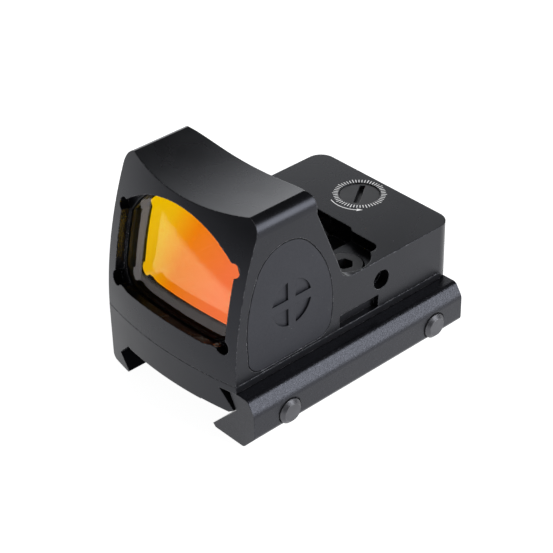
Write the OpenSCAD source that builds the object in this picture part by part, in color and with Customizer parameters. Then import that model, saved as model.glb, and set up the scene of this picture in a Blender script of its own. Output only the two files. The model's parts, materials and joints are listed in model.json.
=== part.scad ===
// Open reflex red dot sight on a low rail clamp, all sizes in millimetres.
// Design axes: +Z up, -Y towards the target, x = 0 on the housing's centre plane, z = 0 at the feet.
// Every node is then moved so that the row's origin lies on the rail's top plane and centre line.

/* [Housing] */
// overall width of the housing and mount plate
body_w = 28; // [27.6:0.1:28.6]
// rear face, measured from the design origin
rear_y = 22.45; // [22.1:0.05:23]
// height of the rear deck above the feet
deck_z = 17.95; // [17.8:0.05:18.3]
// height of the housing's underside above the feet
seam_z = 9.8; // [9.8:0.01:9.82]
// radius of the plan corners at the rear
corner_r = 2.5; // [1.5:0.1:3]
// radius of the barrel shaped front face
front_r = 65; // [64.5:0.1:65.5]
// lowest height of the concave top edge of the hood
hood_dip_z = 32.95; // [32.6:0.05:33.3]
// radius of the concave top edge
hood_dip_r = 60; // [50:1:75]
// radius along the two outer top edges of the hood
horn_r = 2.5; // [2.3:0.1:2.6]

/* [Window and lens] */
// half width of the front opening
window_hw = 12; // [11.6:0.1:12.2]
// depth of the step that the lens sits in, behind the front face
step_d = 1.6; // [1.5:0.05:1.7]
// depth of the front glass surface behind the front face
lens_d = 1.85; // [1.8:0.05:1.9]
// thickness of the front glass element
lens_front_t = 1.7; // [1.6:0.05:1.8]
// thickness of the rear glass element
lens_rear_t = 2.1; // [2:0.05:2.2]
// radius of the lens outline's upper part
lens_r = 12.9; // [12.8:0.05:13]
// half width between the lens outline's flat sides
lens_hw = 11.3; // [11.2:0.05:11.35]

/* [Buttons] */
// thickness of each rubber pad
pad_t = 0.9; // [0.8:0.05:1]
// press travel of each pad
pad_travel = 0.35; // [0.2:0.05:0.35]
// depth of the moulded quadrants
pad_mark_d = 0.3; // [0.15:0.05:0.4]

/* [Adjusters] */
// radius of the elevation screw head
elev_head_r = 3.05; // [2.9:0.05:3.1]
// radius of the windage screw head
wind_head_r = 2.85; // [2.7:0.05:2.9]
// slot width in both heads
slot_w = 0.9; // [0.7:0.05:1.1]

/* [Rail clamp] */
// height of the rail's top plane above the feet
rail_top_z = 4.9; // [4.9:0.01:4.91]
// depth of the relief beside the rail seat
seat_relief = 0.12; // [0.1:0.01:0.15]
// radius of the two cross bolts
bolt_r = 1.95; // [1.9:0.01:1.97]
// distance between the cross bolts
bolt_gap = 29.05; // [29:0.05:29.5]

/* [Hidden] */
$fn = 96;
hw = body_w / 2;
base_top = seam_z - 0.02;
ball_y = -21.95 + front_r;
ball_z = 8.3;
tilt = 13;
win_y = -20;
win_z = 23;
rail_x = -0.4;
bolt_mid = 0.875;
bolt_f = bolt_mid - bolt_gap / 2;
bolt_b = bolt_mid + bolt_gap / 2;
bolt_z = 4.15;
screw_x = 9.525;
screw_y = 4.5;
elev_x = -0.8;
elev_y = 17.8;
wind_y = 12.9;
wind_z = 14.0;
cell_y = -5.2;
lens_f = front_r - lens_d;
lens_m = lens_f - lens_front_t;
lens_b = lens_m - 0.02 - lens_rear_t;
pad_y = -9.8;
pad_z = 18.9;
key_y = -12.5;
key_z = 12.4;
well_z = 14.8;
well_y = 10.3;
roof_z = 14.3;
deck_slope = 0.398;

// moves a node from the design axes to the row's frame
module placed() {
  translate([-rail_x, -bolt_mid, -rail_top_z])
    children();
}

// box given by its low and high corners
module span(lo, hi) {
  translate(lo)
    cube([hi[0] - lo[0], hi[1] - lo[1], hi[2] - lo[2]]);
}

// flat rectangle given by its low and high corners
module rect2(lo, hi) {
  translate(lo)
    square([hi[0] - lo[0], hi[1] - lo[1]]);
}

// what a convex corner p between neighbours a and b loses to a radius r
module corner_cut(p, a, b, r) {
  u = (a - p) / norm(a - p);
  v = (b - p) / norm(b - p);
  half = acos(u * v) / 2;
  c = p + (u + v) / norm(u + v) * r / sin(half);
  ta = p + u * r / tan(half);
  tb = p + v * r / tan(half);
  difference() {
    polygon([c, c + (ta - c) * 1.8, c + (p - c) * 2.2, c + (tb - c) * 1.8]);
    translate(c)
      circle(r = r);
  }
}

// cylinder along +X starting at p
module rod_x(p, len, r) {
  translate(p)
    rotate([0, 90, 0])
      cylinder(h = len, r = r);
}

// profile drawn in (y, z) and swept along +X from x0 to x1
module sweep_x(x0, x1) {
  translate([x0, 0, 0])
    rotate([90, 0, 90])
      linear_extrude(height = x1 - x0)
        children();
}

// profile drawn in (x, z) and swept along +Y from y0 to y1
module sweep_y(y0, y1) {
  translate([0, y1, 0])
    rotate([90, 0, 0])
      linear_extrude(height = y1 - y0)
        children();
}

// profile drawn in the plane of the tilted window, swept along its axis
module sweep_window(inner, outer) {
  translate([0, win_y, win_z])
    rotate([90 - tilt, 0, 0])
      translate([0, 0, -inner])
        linear_extrude(height = inner + outer)
          children();
}

// ball concentric with the barrel shaped front
module front_ball(r) {
  translate([0, ball_y, ball_z])
    sphere(r = r);
}

// copies on both sides of the centre plane
module both_sides() {
  children();
  mirror([1, 0, 0])
    children();
}

// plan outline with rounded rear corners, running past the front
module plan_outline() {
  rect2([-hw, -30], [hw, rear_y - corner_r]);
  rect2([-hw + corner_r, -30], [hw - corner_r, rear_y]);
  for (s = [-1, 1])
    translate([s * (hw - corner_r), rear_y - corner_r])
      circle(r = corner_r);
}

// front view outline with the concave top
module front_outline() {
  top = hood_dip_z + 1.3;
  difference() {
    union() {
      rect2([-hw, seam_z], [hw, top - horn_r]);
      rect2([-hw + horn_r, seam_z], [hw - horn_r, top]);
      for (s = [-1, 1])
        translate([s * (hw - horn_r), top - horn_r])
          circle(r = horn_r);
    }
    translate([0, hood_dip_z + hood_dip_r])
      circle(r = hood_dip_r, $fn = 240);
  }
}

// side view outline: hood, fillet and deck
module side_outline() {
  fr = 2.2;
  fz = deck_z + fr;
  fy = -5.47 + deck_slope * (32.43 - fz) + fr * sqrt(1 + deck_slope * deck_slope);
  n = 1 / sqrt(1 + deck_slope * deck_slope);
  ty = fy - fr * n;
  tz = fz - fr * deck_slope * n;
  by = -5.47 + deck_slope * 1.4;
  // rounded tips of the two horns at the rear
  hr = 1.1;
  hz = hood_dip_z + 1.36 - hr;
  difference() {
    polygon([[-30, seam_z], [rear_y + 1, seam_z], [rear_y + 1, deck_z], [fy, deck_z],
      [ty, tz], [by, 31.03], [by, 35], [-30, 35]]);
    translate([fy, fz])
      circle(r = fr);
    difference() {
      rect2([by - hr, hz], [by + 1, hz + 3]);
      translate([by - hr, hz])
        circle(r = hr);
    }
  }
}

// front opening with its four corner reliefs
module window_outline() {
  intersection() {
    rect2([-window_hw, -8], [window_hw, 10]);
    translate([0, -9.23])
      circle(r = 18.2, $fn = 200);
  }
  for (s = [-1, 1]) {
    translate([s * 11.7, 4.16])
      circle(r = 1.05);
    translate([s * 11.5, -7.46])
      circle(r = 1.15);
  }
}

// lens outline, grown by g
module lens_outline(g) {
  cr = 3.4;
  low = -8.05;
  intersection() {
    union() {
      rect2([-lens_hw - g, low + cr], [lens_hw + g, 12]);
      rect2([-lens_hw + cr, low - g], [lens_hw - cr, low + cr + 1]);
      for (s = [-1, 1])
        translate([s * (lens_hw - cr), low + cr])
          circle(r = cr + g);
    }
    translate([0, -3.2])
      circle(r = lens_r + g, $fn = 160);
    translate([0, -9.23])
      circle(r = 17.95 + g, $fn = 200);
  }
}

// clear opening behind the lens, smaller than the glass all round
module eye_outline() {
  intersection() {
    union() {
      rect2([-9, -4.65], [9, 12]);
      rect2([-6.3, -7.35], [6.3, -3.65]);
      for (s = [-1, 1])
        translate([s * 6.3, -4.65])
          circle(r = 2.7);
    }
    translate([0, -2.2])
      circle(r = 10.5, $fn = 160);
    translate([0, -9.23])
      circle(r = 17.25, $fn = 200);
  }
}

// rubber pad outline in (y, z), grown by g
module pad_outline(g) {
  difference() {
    union() {
      intersection() {
        translate([5.4, 16])
          circle(r = 23.42 + g, $fn = 200);
        translate([-18.7, 16])
          circle(r = 16.6 + g, $fn = 160);
        polygon([[-30, 12.9], [10, 12.9], [-6.52, 27.27], [-15.88, 25.78], [-30, 23]]);
      }
      intersection() {
        translate([5.4, 16])
          circle(r = 23.42 + g, $fn = 200);
        translate([-18.7, 16])
          circle(r = 16.6 + g, $fn = 160);
        translate([-10.7, 23.4])
          circle(r = 5.7 + g);
      }
      intersection() {
        translate([-10.7, 23.4])
          circle(r = 5.7 + g);
        polygon([[-10.7, 23.4], [-20, 27.7], [-20, 35], [0, 35], [-2, 31.5]]);
      }
      rect2([-15.4, 10.35 - g], [-4.9, 13]);
      for (y = [-15.4, -4.9])
        translate([y, 12.9])
          circle(r = 2.55 + g);
    }
  }
}

// quadrants (or halves) sunk in the pad's round mark
module pad_mark(plus) {
  intersection() {
    translate([pad_y, pad_z])
      circle(r = 3.65);
    union() {
      for (s = [-1, 1]) {
        rect2([pad_y - 5, pad_z + (s > 0 ? 0.72 : -5)], [pad_y + 5, pad_z + (s > 0 ? 5 : -0.72)]);
      }
    }
    if (plus) {
      union() {
        rect2([pad_y - 5, pad_z - 5], [pad_y - 0.68, pad_z + 5]);
        rect2([pad_y + 0.68, pad_z - 5], [pad_y + 5, pad_z + 5]);
      }
    }
    else {
      rect2([pad_y - 5, pad_z - 5], [pad_y + 5, pad_z + 5]);
    }
  }
}

// one mounting screw pocket on the +X side
module screw_pocket() {
  translate([screw_x, screw_y - 0.4, 16.2])
    cylinder(h = 8, r = 4.2);
  span([5.2, 1, 16.2], [11.7, 8.3, 24]);
  span([5.2, 1, 16.2], [10.3, 9.7, 24]);
  translate([10.3, 8.3, 16.2])
    cylinder(h = 8, r = 1.4);
  // eased corner where the pocket runs into the light well
  translate([0, 0, 16.2])
    linear_extrude(height = 8)
      difference() {
        rect2([4.75, 9.6], [6.18, 10]);
        translate([6.18, 10.7])
          circle(r = 1);
      }
  translate([screw_x, screw_y, 13.4])
    cylinder(h = 4, r = 3.0);
  translate([screw_x, screw_y, 8])
    cylinder(h = 8, r = 1.65);
}

// light well between the hood and the deck
module light_well() {
  span([-5.75, -1, well_z], [5.75, well_y - 1, 40]);
  span([-4.75, -1, well_z], [4.75, well_y, 40]);
  for (s = [-1, 1])
    translate([s * 4.75, well_y - 1, well_z])
      cylinder(h = 25, r = 1);
}

// rooms inside the housing that open through its underside
module inner_rooms() {
  translate([0, cell_y, 8])
    cylinder(h = 5.55, r = 10.3);
  translate([0, cell_y, 8])
    cylinder(h = 2.55, r = 11);
  span([-8.5, -14, 13], [8.5, -0.5, 14.3]);
  span([-1.1, -1, 13.5], [1.1, 11.4, 14.3]);
  span([-9, 11, 8], [9, 21, roof_z]);
  span([-6.2, 11, 8], [6.2, 13.95, 16.9]);
  span([-9.8, 10.4, 8], [9.8, 21.6, 10.35]);
}

// bores for the two adjusters and their detents
module adjuster_bores() {
  translate([elev_x, elev_y, 16.5])
    cylinder(h = 3, r = elev_head_r + 0.07);
  translate([elev_x, elev_y, 15.85])
    cylinder(h = 2, r = 1.92);
  translate([elev_x, elev_y, 13])
    cylinder(h = 6, r = 1.36);
  translate([elev_x + 2.45, elev_y, 14.85])
    cylinder(h = 3, r = 0.43);
  rod_x([-20, wind_y, wind_z], 20 - 12.6, wind_head_r + 0.07);
  rod_x([-14, wind_y, wind_z], 14 - 11.95, 1.92);
  rod_x([-14, wind_y, wind_z], 14 - 3, 1.36);
  rod_x([-9, wind_y, wind_z], 0.6, 2.05);
  rod_x([-14, wind_y, wind_z + 2.42], 14 - 11, 0.43);
}

// recess and switch room behind the +X pad
module pad_recess() {
  sweep_x(hw - pad_t - pad_travel - 0.05, hw + 3)
    pad_outline(0.12);
  rod_x([10.9, key_y, key_z], 3, 1.4);
  span([10.9, key_y - 1.9, key_z - 1.7], [12, key_y + 1.9, key_z + 1.5]);
  span([8, key_y - 0.5, 13.3], [11.2, key_y + 0.5, 13.9]);
}

// machined housing with hood, deck, window, wells and pockets
module housing() {
  color([0.1, 0.1, 0.11])
    placed()
      difference() {
        intersection() {
          translate([0, 0, seam_z])
            linear_extrude(height = 30)
              plan_outline();
          sweep_y(-30, rear_y + 1)
            front_outline();
          sweep_x(-hw - 1, hw + 1)
            side_outline();
          front_ball(front_r);
        }
        difference() {
          sweep_window(8, 8)
            window_outline();
          front_ball(front_r - step_d);
        }
        difference() {
          sweep_window(12, 8)
            lens_outline(0.3);
          front_ball(lens_b - 0.1);
        }
        intersection() {
          sweep_window(24, 2)
            eye_outline();
          span([-20, -30, well_z], [20, well_y - 0.6, 40]);
        }
        light_well();
        both_sides()
          screw_pocket();
        inner_rooms();
        adjuster_bores();
        both_sides()
          pad_recess();
        translate([0, well_y - 0.5, 15.75])
          rotate([-90, 0, 0])
            cylinder(h = 1.5, r = 0.9);
        translate([0, well_y - 0.5, 15.75])
          rotate([-90, 0, 0])
            cylinder(h = 0.95, r = 1.5);
        rod_x([12.3, 7.65, 14.4], 6, 1.55);
        span([hw - 1, -0.7, 8], [hw + 1, 7.1, 12]);
        both_sides() {
          translate([10.7, -16.9, 8])
            cylinder(h = 3.2, r = 1.0);
          translate([11.9, 19.3, 8])
            cylinder(h = 3.2, r = 1.0);
          rod_x([8.5, 12.9, 11.5], 1.5, 0.8);
        }
      }
}

// shell of the lens between two concentric balls
module lens_shell(r_out, r_in) {
  difference() {
    intersection() {
      sweep_window(12, 8)
        lens_outline(0);
      front_ball(r_out);
    }
    front_ball(r_in);
  }
}

// glass element nearer the target
module lens_front_element() {
  color([0.95, 0.6, 0.2, 0.5])
    placed()
      lens_shell(lens_f, lens_m);
}

// glass element nearer the eye
module lens_rear_element() {
  color([0.7, 0.8, 0.9, 0.4])
    placed()
      lens_shell(lens_m - 0.02, lens_b);
}

// bead of bonding resin round the lens
module lens_bond() {
  color([0.05, 0.05, 0.05])
    placed()
      difference() {
        intersection() {
          sweep_window(12, 8)
            lens_outline(0.24);
          front_ball(lens_f - 0.15);
        }
        sweep_window(13, 9)
          lens_outline(0.06);
        front_ball(lens_b + 0.2);
      }
}

// moulded pad with its plunger, on the +X side
module pad(plus) {
  sweep_x(hw - pad_t, hw)
    difference() {
      pad_outline(0);
      pad_mark(plus);
    }
  sweep_x(hw - pad_t, hw - pad_mark_d)
    intersection() {
      pad_outline(-0.2);
      translate([pad_y, pad_z])
        circle(r = 3.9);
    }
  rod_x([12.3, key_y, key_z], hw - pad_t + 0.1 - 12.3, 1.2);
}

// brighter key
module plus_button() {
  color([0.13, 0.13, 0.14])
    placed()
      pad(true);
}

// dimmer key
module minus_button() {
  color([0.13, 0.13, 0.14])
    placed()
      mirror([1, 0, 0])
        pad(false);
}

// small tact switch behind the +X pad
module tact_switch() {
  span([10.95, key_y - 1.7, key_z - 1.4], [11.75, key_y + 1.7, key_z + 1.4]);
  rod_x([11.7, key_y, key_z], 0.23, 0.8);
}

// switch behind the brighter key
module plus_switch() {
  color([0.75, 0.75, 0.72])
    placed()
      tact_switch();
}

// switch behind the dimmer key
module minus_switch() {
  color([0.75, 0.75, 0.72])
    placed()
      mirror([1, 0, 0])
        tact_switch();
}

// slotted captive screw along +Z, head underside at z = 0
module captive_screw(head_r, head_h, neck_len, shank_len, slot_len) {
  difference() {
    cylinder(h = head_h, r = head_r);
    span([-slot_len / 2, -slot_w / 2, head_h - 0.7], [slot_len / 2, slot_w / 2, head_h + 1]);
  }
  translate([0, 0, -neck_len])
    cylinder(h = neck_len + 0.1, r = 1.3);
  translate([0, 0, -neck_len - 0.3])
    cylinder(h = 0.4, r = 0.9);
  translate([0, 0, -neck_len - shank_len])
    cylinder(h = shank_len - 0.25, r = 1.2);
}

// elevation adjustment screw in the deck
module elevation_screw() {
  color([0.12, 0.12, 0.13])
    placed()
      translate([elev_x, elev_y, 16.58])
        rotate([0, 0, 124.5])
          captive_screw(elev_head_r, 1.27, 2.35, 3.3, 5.1);
}

// seal under the elevation screw head
module elevation_oring() {
  color([0.03, 0.03, 0.03])
    placed()
      translate([elev_x, elev_y, 16.2])
        rotate_extrude()
          translate([1.61, 0])
            circle(r = 0.26, $fn = 24);
}

// retaining ring with a mouth, centred on +Z
module e_clip() {
  difference() {
    cylinder(h = 0.2, r = 1.65);
    translate([0, 0, -1])
      cylinder(h = 3, r = 0.95);
    span([0, -0.7, -1], [3, 0.7, 2]);
  }
}

// retaining ring on the elevation screw
module elevation_clip() {
  color([0.6, 0.6, 0.62])
    placed()
      translate([elev_x, elev_y, 14.005])
        e_clip();
}

// nut that rides the elevation screw, guided by the rear wall, with an arm above the carrier's lug
module elevation_nut() {
  color([0.75, 0.65, 0.35])
    placed()
      difference() {
        union() {
          span([elev_x - 2.4, 15.6, 11.9], [elev_x + 2.4, 20.95, 13.66]);
          span([-1.4, 14.05, 12.82], [1.4, 15.7, 13.66]);
        }
        translate([elev_x, elev_y, 10])
          cylinder(h = 6, r = 1.26);
      }
}

// carrier that holds the emitter and slides up and down in the carriage
module elevation_carrier() {
  color([0.55, 0.55, 0.57])
    placed()
      difference() {
        union() {
          span([-2.32, 12.25, 12.62], [2.32, 13.6, 16.5]);
          span([-1.2, 13.5, 12.62], [1.2, 13.98, 13.3]);
          span([-1.2, 13.9, 11.9], [1.2, 15.4, 12.78]);
        }
        span([-0.85, 12, 15.1], [0.85, 12.7, 16.35]);
      }
}

// coil spring along +Z, from z = 0 to z = h
module coil(r, wire, h, turns) {
  steps = 14;
  pitch = (h - 2 * wire) / turns;
  for (i = [0 : turns * steps - 1]) {
    a0 = i * 360 / steps;
    a1 = (i + 1) * 360 / steps;
    hull() {
      translate([r * cos(a0), r * sin(a0), wire + pitch * i / steps])
        rotate([90, 0, a0])
          cylinder(h = 0.01, r = wire, center = true, $fn = 6);
      translate([r * cos(a1), r * sin(a1), wire + pitch * (i + 1) / steps])
        rotate([90, 0, a1])
          cylinder(h = 0.01, r = wire, center = true, $fn = 6);
    }
  }
}

// spring that holds the carrier up against the nut
module elevation_spring() {
  color([0.7, 0.7, 0.72])
    placed()
      translate([0, 14.75, 10.4])
        coil(0.55, 0.12, 1.47, 3);
}

// windage adjustment screw in the -X side
module windage_screw() {
  color([0.12, 0.12, 0.13])
    placed()
      translate([-12.66, wind_y, wind_z])
        rotate([0, -90, 0])
          rotate([0, 0, 20])
            captive_screw(wind_head_r, 1.24, 3.75, 5.2, 4.8);
}

// seal under the windage screw head
module windage_oring() {
  color([0.03, 0.03, 0.03])
    placed()
      translate([-12.3, wind_y, wind_z])
        rotate([0, 90, 0])
          rotate_extrude()
            translate([1.61, 0])
              circle(r = 0.26, $fn = 24);
}

// retaining ring on the windage screw, inside the housing wall
module windage_clip() {
  color([0.6, 0.6, 0.62])
    placed()
      translate([-8.885, wind_y, wind_z])
        rotate([0, 90, 0])
          e_clip();
}

// carriage that slides sideways on the guide rod and the windage screw
module windage_carriage() {
  color([0.75, 0.65, 0.35])
    placed()
      difference() {
        union() {
          span([-5.4, 11.95, 10.65], [4.6, 13.8, 12.3]);
          span([-5.4, 11.95, 12.2], [-2.4, 13.8, 16.2]);
          span([2.4, 11.95, 12.2], [4.6, 13.8, 16.2]);
        }
        rod_x([-7, 12.9, 11.5], 13, 0.8);
        rod_x([-7, wind_y, wind_z], 3.8, 1.26);
      }
}

// spring that takes the play out of the windage thread
module windage_spring() {
  color([0.7, 0.7, 0.72])
    placed()
      translate([4.95, wind_y, wind_z])
        rotate([0, 90, 0])
          coil(0.6, 0.13, 1.15, 3);
}

// fixed rod that guides the carriage
module guide_rod() {
  color([0.7, 0.7, 0.72])
    placed()
      rod_x([-9.9, 12.9, 11.5], 19.8, 0.75);
}

// light source in its pocket on the carrier
module led_emitter() {
  color([0.9, 0.85, 0.6])
    placed() {
      span([-0.8, 12.12, 15.15], [0.8, 12.68, 16.3]);
      translate([0, 12.13, 15.72])
        rotate([90, 0, 0])
          cylinder(h = 0.15, r = 0.35);
    }
}

// clear disc in the wall between the light well and the emitter room
module emitter_window() {
  color([0.8, 0.85, 0.9, 0.4])
    placed()
      translate([0, well_y + 0.05, 15.75])
        rotate([-90, 0, 0])
          cylinder(h = 0.38, r = 1.45);
}

// click balls under the two screw heads
module detent_balls() {
  color([0.75, 0.75, 0.77])
    placed() {
      translate([elev_x + 2.45, elev_y, 16.15])
        sphere(r = 0.38, $fn = 32);
      translate([-12.2, wind_y, wind_z + 2.42])
        sphere(r = 0.38, $fn = 32);
    }
}

// springs behind the click balls
module detent_springs() {
  color([0.7, 0.7, 0.72])
    placed() {
      translate([elev_x + 2.45, elev_y, 14.9])
        coil(0.28, 0.09, 0.84, 3);
      translate([-11.05, wind_y, wind_z + 2.42])
        rotate([0, -90, 0])
          coil(0.28, 0.09, 0.74, 3);
    }
}

// main circuit board above the battery
module circuit_board() {
  color([0.1, 0.3, 0.15])
    placed() {
      span([-8.3, -13.8, 13.6], [8.3, -0.8, 14.05]);
      span([-3, -10, 14.0], [0, -7, 14.25]);
      span([2.5, -9.5, 14.0], [4.5, -8, 14.25]);
    }
}

// flexible strip from the board to the emitter
module flex_cable() {
  color([0.7, 0.45, 0.1])
    placed()
      span([-0.9, -0.75, 13.75], [0.9, 11.3, 13.9]);
}

// coin cell
module battery() {
  color([0.75, 0.75, 0.77])
    placed()
      translate([0, cell_y, 0]) {
        translate([0, 0, 10.25])
          cylinder(h = 2.7, r = 10);
        translate([0, 0, 12.9])
          cylinder(h = 0.5, r = 8.6);
      }
}

// centre pad and side arc that touch the cell
module battery_contacts() {
  color([0.8, 0.7, 0.35])
    placed()
      translate([0, cell_y, 0]) {
        translate([0, 0, 13.43])
          cylinder(h = 0.12, r = 2.2);
        rotate([0, 0, 70])
          rotate_extrude(angle = 40)
            rect2([10.04, 10.7], [10.2, 13.45]);
      }
}

// thin cover that closes the battery room
module battery_cover() {
  color([0.6, 0.6, 0.62])
    placed()
      translate([0, cell_y, seam_z + 0.03])
        cylinder(h = 0.35, r = 10.8);
}

// flat seal between the cover and the housing
module battery_gasket() {
  color([0.04, 0.04, 0.04])
    placed()
      translate([0, cell_y, seam_z + 0.4])
        difference() {
          cylinder(h = 0.33, r = 10.9);
          translate([0, 0, -1])
            cylinder(h = 3, r = 10.35);
        }
}

// plate that closes the adjuster room
module adjuster_cover() {
  color([0.15, 0.15, 0.16])
    placed()
      span([-9.7, 10.5, seam_z + 0.03], [9.7, 21.5, 10.32]);
}

// two socket head screws that hold the housing on the mount plate
module mounting_screws() {
  color([0.14, 0.14, 0.15])
    placed()
      both_sides()
        translate([screw_x, screw_y, 0])
          difference() {
            union() {
              translate([0, 0, 13.42])
                cylinder(h = 3, r = 2.75);
              translate([0, 0, 5.7])
                cylinder(h = 7.8, r = 1.5);
            }
            translate([0, 0, 14.7])
              rotate([0, 0, 12])
                cylinder(h = 3, r = 1.25 / cos(30), $fn = 6);
          }
}

// section of the mount plate with the fixed hook, in (x, z)
module base_section() {
  difference() {
    polygon([[-hw, base_top], [-hw, 0], [-9.5, 0], [-9.2, 0.25],
      [-11.45, 2.5], [-8.93, rail_top_z + seat_relief], [-8.4, rail_top_z + seat_relief],
      [-8.4, rail_top_z], [7.6, rail_top_z], [7.6, rail_top_z + seat_relief],
      [12.65, rail_top_z + seat_relief], [13.5, 5.55], [11.1, 8.65], [hw, 8.65], [hw, base_top]]);
    corner_cut([-hw, 0], [-hw, 5], [-9.5, 0], 0.9);
  }
}

// mount plate with the fixed hook, recoil grooves and locating posts
module rail_base() {
  color([0.1, 0.1, 0.11])
    placed() {
      difference() {
        intersection() {
          sweep_y(-30, rear_y + 1)
            base_section();
          linear_extrude(height = 12)
            plan_outline();
          translate([0, ball_y, -1])
            cylinder(h = 14, r = front_r, $fn = 240);
        }
        for (y = [bolt_f, bolt_b]) {
          rod_x([-15, y, bolt_z], 30, bolt_r + 0.08);
          rod_x([-15, y, bolt_z], 15 - 12.1, 3.35);
          rod_x([11.4, y, bolt_z], 4, 2.95);
        }
        both_sides()
          translate([screw_x, screw_y, 5.5])
            cylinder(h = 6, r = 1.55);
      }
      both_sides() {
        translate([10.7, -16.9, 9])
          cylinder(h = 2, r = 0.95);
        translate([11.9, 19.3, 9])
          cylinder(h = 2, r = 0.95);
      }
    }
}

// end view of the jaw with its outer corners eased
module jaw_section() {
  top = [16.2, 8.6];
  brow = [17.5, 6.6];
  shin = [17.5, 2.65];
  sole = [15.12, 0];
  difference() {
    polygon([[12.35, 8.56], top, brow, shin, sole, [9.1, 0], [8.62, 0.5], [13.8, 5.68]]);
    corner_cut(top, [12.35, 8.56], brow, 0.9);
    corner_cut(brow, top, shin, 1.6);
    corner_cut(shin, brow, sole, 0.8);
    corner_cut(sole, shin, [9.1, 0], 0.9);
  }
}

// clamp jaw that slides out to the +X side
module clamp_jaw() {
  color([0.1, 0.1, 0.11])
    placed()
      difference() {
        sweep_y(-20.3, 21.3)
          jaw_section();
        for (y = [bolt_f, bolt_b]) {
          rod_x([8, y, bolt_z], 12, bolt_r + 0.07);
          rod_x([8, y, bolt_z], 14.7 - 8, 2.95);
          rod_x([17.1, y, bolt_z], 2, 2.15);
        }
      }
}

// spring washers round the bolts, between the plate and the jaw
module jaw_springs() {
  color([0.65, 0.65, 0.67])
    placed()
      for (y = [bolt_f, bolt_b])
        difference() {
          rod_x([11.45, y, bolt_z], 3.2, 2.75);
          rod_x([11, y, bolt_z], 5, 2.25);
          for (x = [12.0, 12.9, 13.8])
            span([x, y - 3, bolt_z - 3], [x + 0.35, y + (x == 12.9 ? -1.2 : 1.2), bolt_z + 3]);
        }
}

// cross bolt: head in the fixed hook, end through the jaw
module cross_bolt() {
  difference() {
    rod_x([-13.9, 0, 0], 1.75, 3.2);
    span([-15, -0.5, -4], [-13.0, 0.5, 4]);
  }
  rod_x([-12.2, 0, 0], 29.85, bolt_r);
  translate([17.64, 0, 0])
    rotate([0, 90, 0])
      cylinder(h = 0.5, r1 = bolt_r, r2 = 1.4);
}

// bolt nearer the target
module cross_bolt_front() {
  color([0.16, 0.16, 0.17])
    placed()
      translate([0, bolt_f, bolt_z])
        rotate([35, 0, 0])
          cross_bolt();
}

// bolt nearer the eye
module cross_bolt_rear() {
  color([0.16, 0.16, 0.17])
    placed()
      translate([0, bolt_b, bolt_z])
        rotate([-20, 0, 0])
          cross_bolt();
}

housing();
lens_front_element();
lens_rear_element();
lens_bond();
plus_button();
minus_button();
plus_switch();
minus_switch();
elevation_screw();
elevation_oring();
elevation_clip();
elevation_nut();
elevation_carrier();
elevation_spring();
windage_screw();
windage_oring();
windage_clip();
windage_carriage();
windage_spring();
guide_rod();
led_emitter();
emitter_window();
detent_balls();
detent_springs();
circuit_board();
flex_cable();
battery();
battery_contacts();
battery_cover();
battery_gasket();
adjuster_cover();
mounting_screws();
rail_base();
clamp_jaw();
jaw_springs();
cross_bolt_front();
cross_bolt_rear();
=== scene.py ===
"""Looks of an open reflex sight on a rail clamp: materials, printed marks, lens coating, light and camera."""
import json
import math

import bmesh
import bpy
from mathutils import Matrix, Vector


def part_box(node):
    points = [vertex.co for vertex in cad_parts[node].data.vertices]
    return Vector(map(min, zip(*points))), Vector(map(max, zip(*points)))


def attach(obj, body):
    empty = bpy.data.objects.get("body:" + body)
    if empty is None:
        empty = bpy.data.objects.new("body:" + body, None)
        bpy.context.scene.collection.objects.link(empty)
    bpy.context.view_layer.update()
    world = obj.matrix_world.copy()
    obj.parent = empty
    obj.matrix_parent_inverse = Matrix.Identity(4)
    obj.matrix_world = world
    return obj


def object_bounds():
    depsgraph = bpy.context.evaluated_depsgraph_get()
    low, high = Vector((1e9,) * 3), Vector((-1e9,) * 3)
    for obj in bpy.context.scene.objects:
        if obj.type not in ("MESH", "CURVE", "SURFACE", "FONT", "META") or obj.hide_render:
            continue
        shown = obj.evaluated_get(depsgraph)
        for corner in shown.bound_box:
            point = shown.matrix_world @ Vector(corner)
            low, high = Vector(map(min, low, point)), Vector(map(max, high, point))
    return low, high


MM = 0.001
COOL = (0.82, 0.85, 1.0)
SHINE = 0.34   # specular level of the anodised parts
BALL = Vector((0.4, 42.175, 3.4)) * MM   # centre shared by the barrel front and all lens faces
COAT_LEAN, OUTER_LEAN = math.radians(4.3), math.radians(-3)   # tips of the mirror normals, + is down
LENS_INDEX = 1.52   # refractive index of the glass
# The pale edge colour: bare alloy where edges are worn, and also a painted highlight along edges.
DUST, BARE_ALLOY_AND_SHEEN = (0.32, 0.32, 0.34), (0.36, 0.36, 0.38)
BLACK = (0, 0, 0)
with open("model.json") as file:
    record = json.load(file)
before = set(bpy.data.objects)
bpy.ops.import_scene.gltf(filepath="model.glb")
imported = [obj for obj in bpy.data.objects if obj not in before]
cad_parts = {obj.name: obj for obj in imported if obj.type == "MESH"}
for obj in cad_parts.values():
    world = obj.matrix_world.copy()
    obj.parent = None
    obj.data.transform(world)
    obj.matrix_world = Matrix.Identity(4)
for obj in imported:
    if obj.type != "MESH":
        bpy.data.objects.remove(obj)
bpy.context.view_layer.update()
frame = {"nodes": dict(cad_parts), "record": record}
scene = bpy.context.scene


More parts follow.
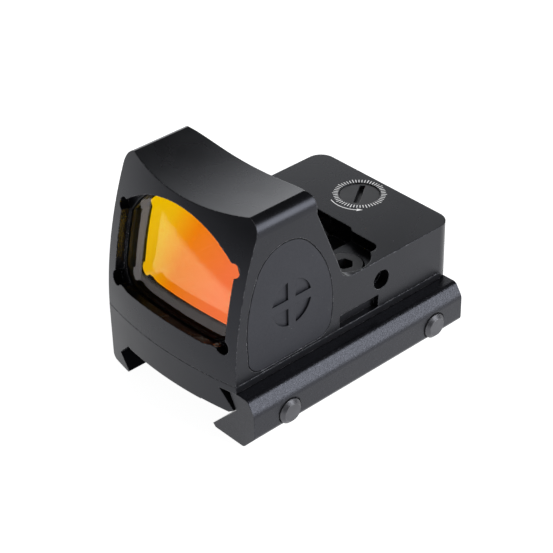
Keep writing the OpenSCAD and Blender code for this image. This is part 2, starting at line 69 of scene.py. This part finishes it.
# ---------------------------------------------------------------- node helpers
class Graph:
    """A material's node tree with a Principled shader already wired to the output."""

    def __init__(self, name):
        self.material = bpy.data.materials.new(name)
        self.material.use_nodes = True
        self.tree = self.material.node_tree
        self.principled = self.tree.nodes["Principled BSDF"]
        self.output = self.tree.nodes["Material Output"]
        self.place = self.add("ShaderNodeTexCoord").outputs["Object"]

    def add(self, kind, **settings):
        node = self.tree.nodes.new(kind)
        for key, value in settings.items():
            setattr(node, key, value)
        return node

    def put(self, socket, value):
        """Links a source to a socket, or sets the socket's own value."""
        if isinstance(value, bpy.types.NodeSocket):
            self.tree.links.new(value, socket)
        elif isinstance(value, (tuple, list)) and len(value) == 3 and socket.type == "RGBA":
            socket.default_value = (*value, 1)
        else:
            socket.default_value = value

    def math(self, operation, a, b=0.0):
        node = self.add("ShaderNodeMath", operation=operation)
        for socket, value in zip(node.inputs, (a, b)):
            self.put(socket, value)
        return node.outputs[0]

    def product(self, *factors):
        total = factors[0]
        for factor in factors[1:]:
            total = self.math("MULTIPLY", total, factor)
        return total

    def vector(self, operation, a, b=(0, 0, 0), result="Vector"):
        node = self.add("ShaderNodeVectorMath", operation=operation)
        self.put(node.inputs[0], a)
        self.put(node.inputs[1], b)
        return node.outputs[result]

    def surface(self, kind):
        """The shaded point's "Normal" or "True Normal"."""
        return self.add("ShaderNodeNewGeometry").outputs[kind]

    def along_axes(self):
        """The shaded point's x, y and z."""
        node = self.add("ShaderNodeSeparateXYZ")
        self.put(node.inputs[0], self.place)
        return tuple(node.outputs)

    def noise(self, scale, detail=2.0, rough=0.5, vector=None):
        node = self.add("ShaderNodeTexNoise")
        self.put(node.inputs["Vector"], vector or self.place)
        self.put(node.inputs["Scale"], scale)
        self.put(node.inputs["Detail"], detail)
        self.put(node.inputs["Roughness"], rough)
        return node.outputs["Fac"]

    def cells(self, scale):
        node = self.add("ShaderNodeTexVoronoi")
        self.put(node.inputs["Vector"], self.place)
        self.put(node.inputs["Scale"], scale)
        return node.outputs["Distance"]

    def stretched(self, x, y, z):
        node = self.add("ShaderNodeMapping")
        self.put(node.inputs["Vector"], self.place)
        node.inputs["Scale"].default_value = (x, y, z)
        return node.outputs["Vector"]

    def ramp(self, value, low, high, to_low=0.0, to_high=1.0):
        node = self.add("ShaderNodeMapRange")
        for key, item in (("Value", value), ("From Min", low), ("From Max", high),
                          ("To Min", to_low), ("To Max", to_high)):
            self.put(node.inputs[key], item)
        return node.outputs["Result"]

    def mix(self, factor, a, b):
        node = self.add("ShaderNodeMix", data_type="RGBA")
        self.put(node.inputs["Factor"], factor)
        self.put(node.inputs["A"], a)
        self.put(node.inputs["B"], b)
        return node.outputs["Result"]

    def colours(self, value, *stops):
        node = self.add("ShaderNodeValToRGB")
        self.put(node.inputs[0], value)
        band = node.color_ramp
        while len(band.elements) < len(stops):
            band.elements.new(0.5)
        for element, (at, colour) in zip(band.elements, stops):
            element.position = at
            element.color = (*colour, 1)
        return node.outputs["Color"]

    def rounded(self, radius):
        node = self.add("ShaderNodeBevel", samples=4)
        node.inputs["Radius"].default_value = radius
        return node.outputs["Normal"]

    def edges(self, rounded, low, high):
        """1 on sharp edges, 0 on flats: how far the rounded normal leans from the plain one."""
        lean = self.vector("DOT_PRODUCT", rounded, self.surface("Normal"), "Value")
        return self.ramp(lean, high, low)

    def bump(self, height, distance, strength=1.0, normal=None):
        node = self.add("ShaderNodeBump")
        self.put(node.inputs["Height"], height)
        self.put(node.inputs["Distance"], distance)
        self.put(node.inputs["Strength"], strength)
        if normal is not None:
            self.put(node.inputs["Normal"], normal)
        return node.outputs["Normal"]

    def finish(self, **sockets):
        for key, value in sockets.items():
            self.put(self.principled.inputs[key.replace("_", " ")], value)
        return self.material


# ---------------------------------------------------------------- materials
# Noise and cell scales are in features per metre, so 1000 gives a pattern about 1 mm across.
def scaled(tone, factor):
    return tuple(channel * factor for channel in tone)


def anodised(name, tone, rough):
    """Black anodised aluminium: fine matt grain, faint mottling, paler edges that are partly worn and partly
    a painted highlight, and small nicks.
    """
    g = Graph(name)
    mottle = g.noise(140, 3)
    fine = g.noise(6500, 2, 0.6)
    soft = g.rounded(0.20 * MM)
    edge = g.edges(soft, 0.90, 0.995)
    # Pale patches along every rounded edge: partly real wear, partly painted edge highlight; the nicks are
    # wear.
    edge_wear_and_sheen = g.product(edge, g.ramp(g.noise(900, 3), 0.40, 0.62), 0.30)
    nicks = g.product(edge, g.ramp(g.noise(2600, 1), 0.57, 0.64), 0.60)
    speck = g.product(g.ramp(g.cells(700), 0.05, 0.035), g.ramp(g.noise(420, 1), 0.66, 0.70))
    colour = g.mix(g.ramp(mottle, 0.35, 0.65), scaled(tone, 0.75), scaled(tone, 1.35))
    colour = g.mix(g.product(speck, 0.45), colour, DUST)
    colour = g.mix(g.math("MAXIMUM", edge_wear_and_sheen, nicks), colour, BARE_ALLOY_AND_SHEEN)
    finish = g.ramp(mottle, 0.3, 0.7, rough - 0.03, rough + 0.04)
    finish = g.math("ADD", finish, g.product(speck, 0.3))
    normal = g.bump(fine, 0.0035 * MM, 1.0, soft)
    g.put(g.principled.inputs["Specular IOR Level"], SHINE)
    return g.finish(Base_Color=colour, Roughness=finish, Normal=normal, Specular_Tint=COOL)


def blasted(name, tone, rough):
    """Bead blasted black anodised jaw: coarser grain with painted glints for its sparkle, and paler edges
    that are partly worn and partly a painted highlight.
    """
    g = Graph(name)
    coarse = g.noise(3000, 3, 0.75)
    soft = g.rounded(0.18 * MM)
    edge = g.edges(soft, 0.90, 0.995)
    # Painted glints: pale specks in the base colour stand in for sparkle under a hard light, mostly on the
    # long bevel.
    painted_glint = g.product(g.ramp(g.cells(2600), 0.34, 0.20), g.ramp(g.noise(1300, 2), 0.46, 0.58), 0.40)
    # Pale edges: partly real wear, partly painted edge highlight.
    worn_and_sheen_edges = g.product(edge, g.ramp(g.noise(1100, 3), 0.42, 0.66, 0.0, 0.4))
    bevel = g.vector("DOT_PRODUCT", g.surface("True Normal"), Vector((1, 0, 1)).normalized(), "Value")
    sloped = g.ramp(bevel, 0.85, 0.97, 0.3, 1.0)   # the long bevel is the roughest face
    colour = g.mix(g.ramp(g.noise(160, 3), 0.35, 0.65), scaled(tone, 0.8), tone)
    colour = g.mix(g.product(painted_glint, sloped), colour, (0.10, 0.10, 0.12))
    colour = g.mix(worn_and_sheen_edges, colour, (0.30, 0.30, 0.32))
    normal = g.bump(coarse, 0.045 * MM, sloped, soft)
    g.put(g.principled.inputs["Specular IOR Level"], 1.2 * SHINE)
    return g.finish(Base_Color=colour, Roughness=g.ramp(coarse, 0.3, 0.7, rough - 0.05, rough + 0.06),
                    Normal=normal, Specular_Tint=COOL)


def rubber(name, tone):
    """Moulded silicone rubber with a faint texture and a few specks of dust."""
    g = Graph(name)
    soft = g.rounded(0.12 * MM)
    fine = g.noise(3800, 3, 0.6)
    dust = g.product(g.ramp(g.cells(900), 0.07, 0.04), g.ramp(g.noise(500, 1), 0.60, 0.66), 0.6)
    colour = g.mix(g.ramp(g.noise(180, 4), 0.3, 0.7), scaled(tone, 0.8), scaled(tone, 1.2))
    colour = g.mix(dust, colour, (0.42, 0.42, 0.43))
    normal = g.bump(fine, 0.005 * MM, 1.0, soft)
    return g.finish(Base_Color=colour, Roughness=g.ramp(fine, 0.3, 0.7, 0.50, 0.60),
                    Normal=normal, Specular_Tint=COOL)


def metal(name, tone, rough, along=(1, 1, 1)):
    """Turned or rolled metal with fine lines across the stretched axis."""
    g = Graph(name)
    lines = g.noise(2500, 3, 0.6, g.stretched(*along))
    soft = g.rounded(0.08 * MM)
    colour = g.mix(g.ramp(g.noise(300, 3), 0.3, 0.7), scaled(tone, 0.82), tone)
    normal = g.bump(lines, 0.004 * MM, 1.0, soft)
    return g.finish(Base_Color=colour, Metallic=1.0, Normal=normal,
                    Roughness=g.ramp(lines, 0.3, 0.7, rough - 0.06, rough + 0.06))


def oxide_steel(name, tone, rough):
    """Black oxide steel: dark metal with paler edges, partly worn and partly a painted highlight."""
    g = Graph(name)
    soft = g.rounded(0.14 * MM)
    # Paler edges: partly real wear, partly painted edge highlight.
    edge = g.product(g.edges(soft, 0.88, 0.995), g.ramp(g.noise(1500, 3), 0.35, 0.6), 0.5)
    lines = g.noise(3000, 3, 0.6)
    colour = g.mix(g.ramp(g.noise(500, 3), 0.3, 0.7), scaled(tone, 0.8), tone)
    colour = g.mix(edge, colour, (0.42, 0.42, 0.44))
    normal = g.bump(lines, 0.004 * MM, 1.0, soft)
    return g.finish(Base_Color=colour, Metallic=0.55, Normal=normal,
                    Roughness=g.ramp(lines, 0.3, 0.7, rough - 0.05, rough + 0.05))


def plastic(name, tone, rough, grain=2500):
    """Moulded or printed plastic with a soft grain."""
    g = Graph(name)
    fine = g.noise(grain, 3, 0.6)
    colour = g.mix(g.ramp(g.noise(400, 3), 0.3, 0.7), scaled(tone, 0.85), tone)
    return g.finish(Base_Color=colour, Roughness=g.ramp(fine, 0.3, 0.7, rough - 0.05, rough + 0.05),
                    Normal=g.bump(fine, 0.003 * MM, 1.0, g.rounded(0.06 * MM)))


def glass(name, tint):
    """Optical glass with the faintest film of dust."""
    g = Graph(name)
    film = g.ramp(g.noise(220, 4), 0.45, 0.75, 0.0, 0.035)
    return g.finish(Base_Color=tint, Transmission_Weight=1.0, IOR=LENS_INDEX, Roughness=film)


def lens_glass(name, tint):
    """Lens glass: clear faces that leave all mirroring to the coats, and a ground, blackened rim."""
    g = Graph(name)
    film = g.ramp(g.noise(220, 4), 0.60, 0.80, 0.0, 0.004)
    outward = g.vector("NORMALIZE", g.vector("SUBTRACT", g.place, BALL))
    facing = g.vector("DOT_PRODUCT", outward, g.surface("True Normal"), "Value")
    face = g.ramp(g.math("ABSOLUTE", facing), 0.50, 0.60)
    bend = g.add("ShaderNodeBsdfRefraction")
    for key, value in (("Color", tint), ("Roughness", film), ("IOR", LENS_INDEX)):
        g.put(bend.inputs[key], value)
    both = g.add("ShaderNodeMixShader")
    for socket, source in zip(both.inputs, (face, g.principled.outputs[0], bend.outputs[0])):
        g.put(socket, source)
    g.put(g.output.inputs["Surface"], both.outputs[0])
    return g.finish(Base_Color=g.mix(face, (0.006, 0.006, 0.006), tint), Transmission_Weight=face,
                    IOR=LENS_INDEX, Roughness=g.math("MAXIMUM", film, g.math("SUBTRACT", 0.6, face)))


def layer(g, mirrored, passed, lean):
    """A thin coat that mirrors one colour and passes another; lean tips normals that face -Y down."""
    mirror = g.add("ShaderNodeBsdfGlossy")
    tip = g.add("ShaderNodeVectorRotate", rotation_type="X_AXIS")
    g.put(tip.inputs["Vector"], g.surface("Normal"))
    g.put(tip.inputs["Angle"], lean)
    g.put(mirror.inputs["Normal"], tip.outputs["Vector"])
    g.put(mirror.inputs["Color"], mirrored)
    g.put(mirror.inputs["Roughness"], g.ramp(g.noise(200, 3), 0.5, 0.8, 0.0, 0.006))
    clear = g.add("ShaderNodeBsdfTransparent")
    g.put(clear.inputs["Color"], passed)
    both = g.add("ShaderNodeAddShader")
    g.put(both.inputs[0], mirror.outputs[0])
    g.put(both.inputs[1], clear.outputs[0])
    g.put(g.output.inputs["Surface"], both.outputs[0])
    return g.material


def coating(name):
    """Dichroic mirror: yellow, amber to coral across the lens; about a third of the light passes."""
    g = Graph(name)
    x, _, z = g.along_axes()
    across = g.ramp(g.math("SUBTRACT", x, g.product(z, 0.35)), -17 * MM, 10 * MM)
    mirrored = g.colours(across, (0.0, (0.76, 0.46, 0.0)), (0.23, (0.78, 0.40, 0.0)),
                         (0.30, (0.79, 0.31, 0.0)), (0.42, (0.79, 0.18, 0.0)), (0.72, (0.84, 0.15, 0.040)))
    return layer(g, mirrored, (0.34, 0.34, 0.28), COAT_LEAN)


def outer_coat(name):
    """Clear hard coat on the target side; its weak shine is stronger along the left and lower rims."""
    g = Graph(name)
    x, _, z = g.along_axes()
    left = g.product(g.ramp(x, -7.0 * MM, -7.4 * MM), 0.095)
    lower = g.product(g.ramp(z, 13.0 * MM, 12.2 * MM), 0.052)
    strength = g.math("ADD", 0.003, g.math("MAXIMUM", left, lower))
    return layer(g, g.mix(strength, BLACK, (1, 0.93, 0.92)), (0.97, 0.97, 0.97), OUTER_LEAN)


def rear_coat(name):
    """White mirror on the eye side that ends along a slanting line towards the upper right."""
    g = Graph(name)
    x, _, z = g.along_axes()
    slope = g.math("ADD", z, g.product(x, 0.35))
    strength = g.ramp(slope, 18.0 * MM, 19.2 * MM, 0.85, 0.0)
    return layer(g, g.mix(strength, BLACK, (1, 1, 1)), (0.9, 0.92, 0.93), COAT_LEAN)


finishes = {
    "anodised_body": anodised("anodised_body", (0.0045, 0.0045, 0.0052), 0.27),
    "anodised_base": anodised("anodised_base", (0.0045, 0.0045, 0.0052), 0.30),
    "blasted_jaw": blasted("blasted_jaw", (0.006, 0.006, 0.0075), 0.30),
    "front_glass": lens_glass("front_glass", (0.98, 0.99, 0.99)),
    "rear_glass": lens_glass("rear_glass", (0.96, 0.99, 0.985)),
    "clear_glass": glass("clear_glass", (0.97, 0.99, 0.99)),
    "bond": plastic("bond", (0.02, 0.02, 0.022), 0.5),
    "pad_rubber": rubber("pad_rubber", (0.010, 0.010, 0.012)),
    "switch_plastic": plastic("switch_plastic", (0.62, 0.61, 0.57), 0.45),
    "black_screw": oxide_steel("black_screw", (0.055, 0.055, 0.06), 0.36),
    "bolt_steel": oxide_steel("bolt_steel", (0.09, 0.09, 0.10), 0.38),
    "seal_rubber": plastic("seal_rubber", (0.018, 0.018, 0.018), 0.6),
    "spring_steel": metal("spring_steel", (0.56, 0.56, 0.58), 0.28),
    "brass": metal("brass", (0.72, 0.52, 0.22), 0.30, (1, 8, 8)),
    "contact_brass": metal("contact_brass", (0.78, 0.62, 0.30), 0.26),
    "carrier_alloy": metal("carrier_alloy", (0.55, 0.55, 0.57), 0.36, (8, 8, 1)),
    "led": plastic("led", (0.85, 0.76, 0.42), 0.3),
    "board": plastic("board", (0.02, 0.14, 0.06), 0.35),
    "flex": plastic("flex", (0.55, 0.27, 0.04), 0.3),
    "cell_steel": metal("cell_steel", (0.66, 0.65, 0.63), 0.24),
    "cover_steel": metal("cover_steel", (0.55, 0.55, 0.57), 0.3, (1, 10, 1)),
    "cover_black": anodised("cover_black", (0.014, 0.014, 0.016), 0.45),
}
for part in frame["record"]["subparts"]:
    shown = frame["nodes"][part["node"]]
    shown.data.materials.clear()
    shown.data.materials.append(finishes[part["material_slot"]])


# ---------------------------------------------------------------- lens coating
COAT_GAP = 0.008 * MM    # a film floats this far off its lens face
ON_FACE = 0.004 * MM     # points this close to a ball belong to its face


def lens_coat(name, node, outer, finish):
    """A film laid on the target side (outer) or eye side of a lens element."""
    film = bmesh.new()
    film.from_mesh(frame["nodes"][node].data)
    reach = [(v.co - BALL).length for v in film.verts]
    radius = max(reach) if outer else min(reach)
    gap = COAT_GAP if outer else -COAT_GAP
    away = [f for f in film.faces if any(abs((v.co - BALL).length - radius) > ON_FACE for v in f.verts)]
    bmesh.ops.delete(film, geom=away, context="FACES")
    for v in film.verts:
        v.co = BALL + (v.co - BALL) * ((radius + gap) / radius)
    mesh = bpy.data.meshes.new(name)
    film.to_mesh(mesh)
    film.free()
    mesh.shade_smooth()
    coat = bpy.data.objects.new(name, mesh)
    scene.collection.objects.link(coat)
    mesh.materials.append(finish(name))
    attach(coat, "sight")


lens_coat("lens_outer_coat", "lens_front_element", True, outer_coat)
lens_coat("lens_coating", "lens_front_element", False, coating)
lens_coat("lens_rear_coat", "lens_rear_element", False, rear_coat)


# ---------------------------------------------------------------- printed marks
DECK = 13.05 * MM       # the deck's upper face
PAINT_THICK = 0.012 * MM
PRINT_PAINTED_GLOW = 0.4        # painted glow: the print emits this much light of its own, though it is no lamp, so the thin print reads bright in the soft light


def printed(name, outlines):
    """Thin raised paint on the deck, made of flat outlines of (x, y) corners."""
    bm = bmesh.new()
    for outline in outlines:
        lower = [bm.verts.new((x, y, DECK)) for x, y in outline]
        upper = [bm.verts.new((x, y, DECK + PAINT_THICK)) for x, y in outline]
        bm.faces.new(lower[::-1])
        bm.faces.new(upper)
        for i in range(len(outline)):
            j = (i + 1) % len(outline)
            bm.faces.new((lower[i], lower[j], upper[j], upper[i]))
    bmesh.ops.recalc_face_normals(bm, faces=bm.faces)
    mesh = bpy.data.meshes.new(name)
    bm.to_mesh(mesh)
    mark = bpy.data.objects.new(name, mesh)
    scene.collection.objects.link(mark)
    mesh.materials.append(paint)
    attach(mark, "sight")


def polar(centre, radius, angle):
    """The (x, y) of a point on a circle around a centre."""
    return centre.x + radius * math.cos(angle), centre.y + radius * math.sin(angle)


def ring_piece(centre, inner, outer, start, end):
    """Four corners of a piece of a ring between two radii; start and end hold its angles at each radius."""
    return [polar(centre, inner, start[0]), polar(centre, outer, start[1]),
            polar(centre, outer, end[1]), polar(centre, inner, end[0])]


paint = plastic("print_white", (0.95, 0.95, 0.95), 0.6, 5000)
paint_shader = paint.node_tree.nodes["Principled BSDF"].inputs
# Painted glow: the white print emits a little light of its own so it reads brighter.
paint_shader["Emission Color"].default_value = (1, 1, 1, 1)
paint_shader["Emission Strength"].default_value = PRINT_PAINTED_GLOW
low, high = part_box("elevation_screw")
dial = (low + high) / 2

TICKS, LONG_EVERY, FIRST_TICK = 50, 5, math.radians(7)
TICK_FROM, TICK_TO, LONG_TO, TICK_HALF = 3.30 * MM, 4.0 * MM, 4.15 * MM, 0.065 * MM
ticks = []
for i in range(TICKS):
    angle = FIRST_TICK + i * 2 * math.pi / TICKS
    reach = LONG_TO if i % LONG_EVERY == 0 else TICK_TO
    half = TICK_HALF / TICK_FROM, TICK_HALF / reach
    ticks.append(ring_piece(dial, TICK_FROM, reach, [angle - h for h in half], [angle + h for h in half]))
printed("dial_ticks", ticks)

ARC_FROM, ARC_TO, ARC_STEPS = math.radians(-112), math.radians(-50), 16
ARC_R, ARC_HALF = 4.62 * MM, 0.075 * MM
HEAD_HALF, HEAD_TURN = 0.33 * MM, math.radians(11)
arrow = []
for i in range(ARC_STEPS):
    a = ARC_FROM + (ARC_TO - ARC_FROM) * i / ARC_STEPS
    b = ARC_FROM + (ARC_TO - ARC_FROM) * (i + 1) / ARC_STEPS
    arrow.append(ring_piece(dial, ARC_R - ARC_HALF, ARC_R + ARC_HALF, (a, a), (b, b)))
arrow.append([polar(dial, ARC_R - HEAD_HALF, ARC_TO), polar(dial, ARC_R + HEAD_HALF, ARC_TO),
              polar(dial, ARC_R, ARC_TO + HEAD_TURN)])
printed("turn_arrow", arrow)

# ---------------------------------------------------------------- stage, light, camera
PAPER_HALF = 2
GLOW_LEFT, GLOW_RIGHT = 0.95, 1.02          # the paper is lit a little more on the jaw's side
GLOW_FROM, GLOW_TO = -10 * MM, 40 * MM      # where that change runs, measured along x + y
SHEET_NEAR, SHEET_FAR = 125 * MM, 240 * MM  # where the paper's light starts and stops fading in front
SHEET_END = 0.6                             # what is left of it there
SKY_BASE = 0.11
SKY_PANELS = (  # direction, where it starts and is full as a cosine, strength
    ((-0.76, 0.60, 0.05), 0.79, 0.975, 1.7),
    ((0.80, 0.47, 0.36), 0.92, 0.985, 8.0),
)
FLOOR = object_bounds()[0].z - 0.02 * MM
corners = [(x * PAPER_HALF, y * PAPER_HALF, FLOOR) for x, y in ((-1, -1), (1, -1), (1, 1), (-1, 1))]
floor_mesh = bpy.data.meshes.new("floor")
floor_mesh.from_pydata(corners, [], [(0, 1, 2, 3)])
floor = bpy.data.objects.new("floor", floor_mesh)
scene.collection.objects.link(floor)
paper = Graph("floor")
across, along, _ = paper.along_axes()
ahead = paper.math("SUBTRACT", paper.product(across, 0.9), along)
sheet = paper.ramp(ahead, SHEET_NEAR, SHEET_FAR, 1.0, SHEET_END)
glow = paper.ramp(paper.math("ADD", across, along), GLOW_FROM, GLOW_TO, GLOW_LEFT, GLOW_RIGHT)
# The same fade also darkens the paper's own colour far in front: painted shade.
floor_mesh.materials.append(paper.finish(Base_Color=paper.mix(sheet, (0.04, 0.04, 0.04), (0.6, 0.6, 0.6)),
                                         Roughness=0.7, Emission_Color=(1, 1, 1),
                                         Emission_Strength=paper.product(sheet, glow)))

world = bpy.data.worlds.new("studio")
scene.world = world
world.use_nodes = True
sky = world.node_tree
backdrop = sky.nodes["Background"]
look = sky.nodes.new("ShaderNodeTexCoord").outputs["Generated"]


def sky_glow(toward, start, full, strength):
    """A soft panel in the sky: rises from start to full as the look direction nears toward."""
    facing = sky.nodes.new("ShaderNodeVectorMath")
    facing.operation = "DOT_PRODUCT"
    sky.links.new(look, facing.inputs[0])
    facing.inputs[1].default_value = Vector(toward).normalized()
    fade = sky.nodes.new("ShaderNodeMapRange")
    fade.interpolation_type = "SMOOTHSTEP"
    sky.links.new(facing.outputs["Value"], fade.inputs["Value"])
    fade.inputs["From Min"].default_value, fade.inputs["From Max"].default_value = start, full
    fade.inputs["To Max"].default_value = strength
    return fade.outputs["Result"]


total = None
for panel in SKY_PANELS:
    glow = sky_glow(*panel)
    if total is None:
        total = glow
    else:
        plus = sky.nodes.new("ShaderNodeMath")
        sky.links.new(total, plus.inputs[0])
        sky.links.new(glow, plus.inputs[1])
        total = plus.outputs[0]
room = sky.nodes.new("ShaderNodeMath")
sky.links.new(total, room.inputs[0])
room.inputs[1].default_value = SKY_BASE
sky.links.new(room.outputs[0], backdrop.inputs["Strength"])
backdrop.inputs["Color"].default_value = (0.97, 0.985, 1.0, 1)

CAM_AZ, CAM_EL, CAM_ROLL = map(math.radians, (48.311, 34.396, -1.238))
CAM_TARGET, CAM_AWAY = Vector((12.523, -11.727, 17.867)) * MM, 237.552 * MM
back = Vector((math.sin(CAM_AZ) * math.cos(CAM_EL), -math.cos(CAM_AZ) * math.cos(CAM_EL), math.sin(CAM_EL)))
right = Vector((math.cos(CAM_AZ), math.sin(CAM_AZ), 0))
up = back.cross(right)
right = right * math.cos(CAM_ROLL) + up * math.sin(CAM_ROLL)
up = back.cross(right)
eye = bpy.data.cameras.new("camera")
eye.sensor_width, eye.lens = 36, 113.80
eye.clip_start, eye.clip_end = 0.01, 10
camera = bpy.data.objects.new("camera", eye)
scene.collection.objects.link(camera)
turn = Matrix((right, up, back)).transposed()
camera.matrix_world = Matrix.Translation(CAM_TARGET + back * CAM_AWAY) @ turn.to_4x4()
scene.camera = camera
scene.view_settings.view_transform = "Standard"
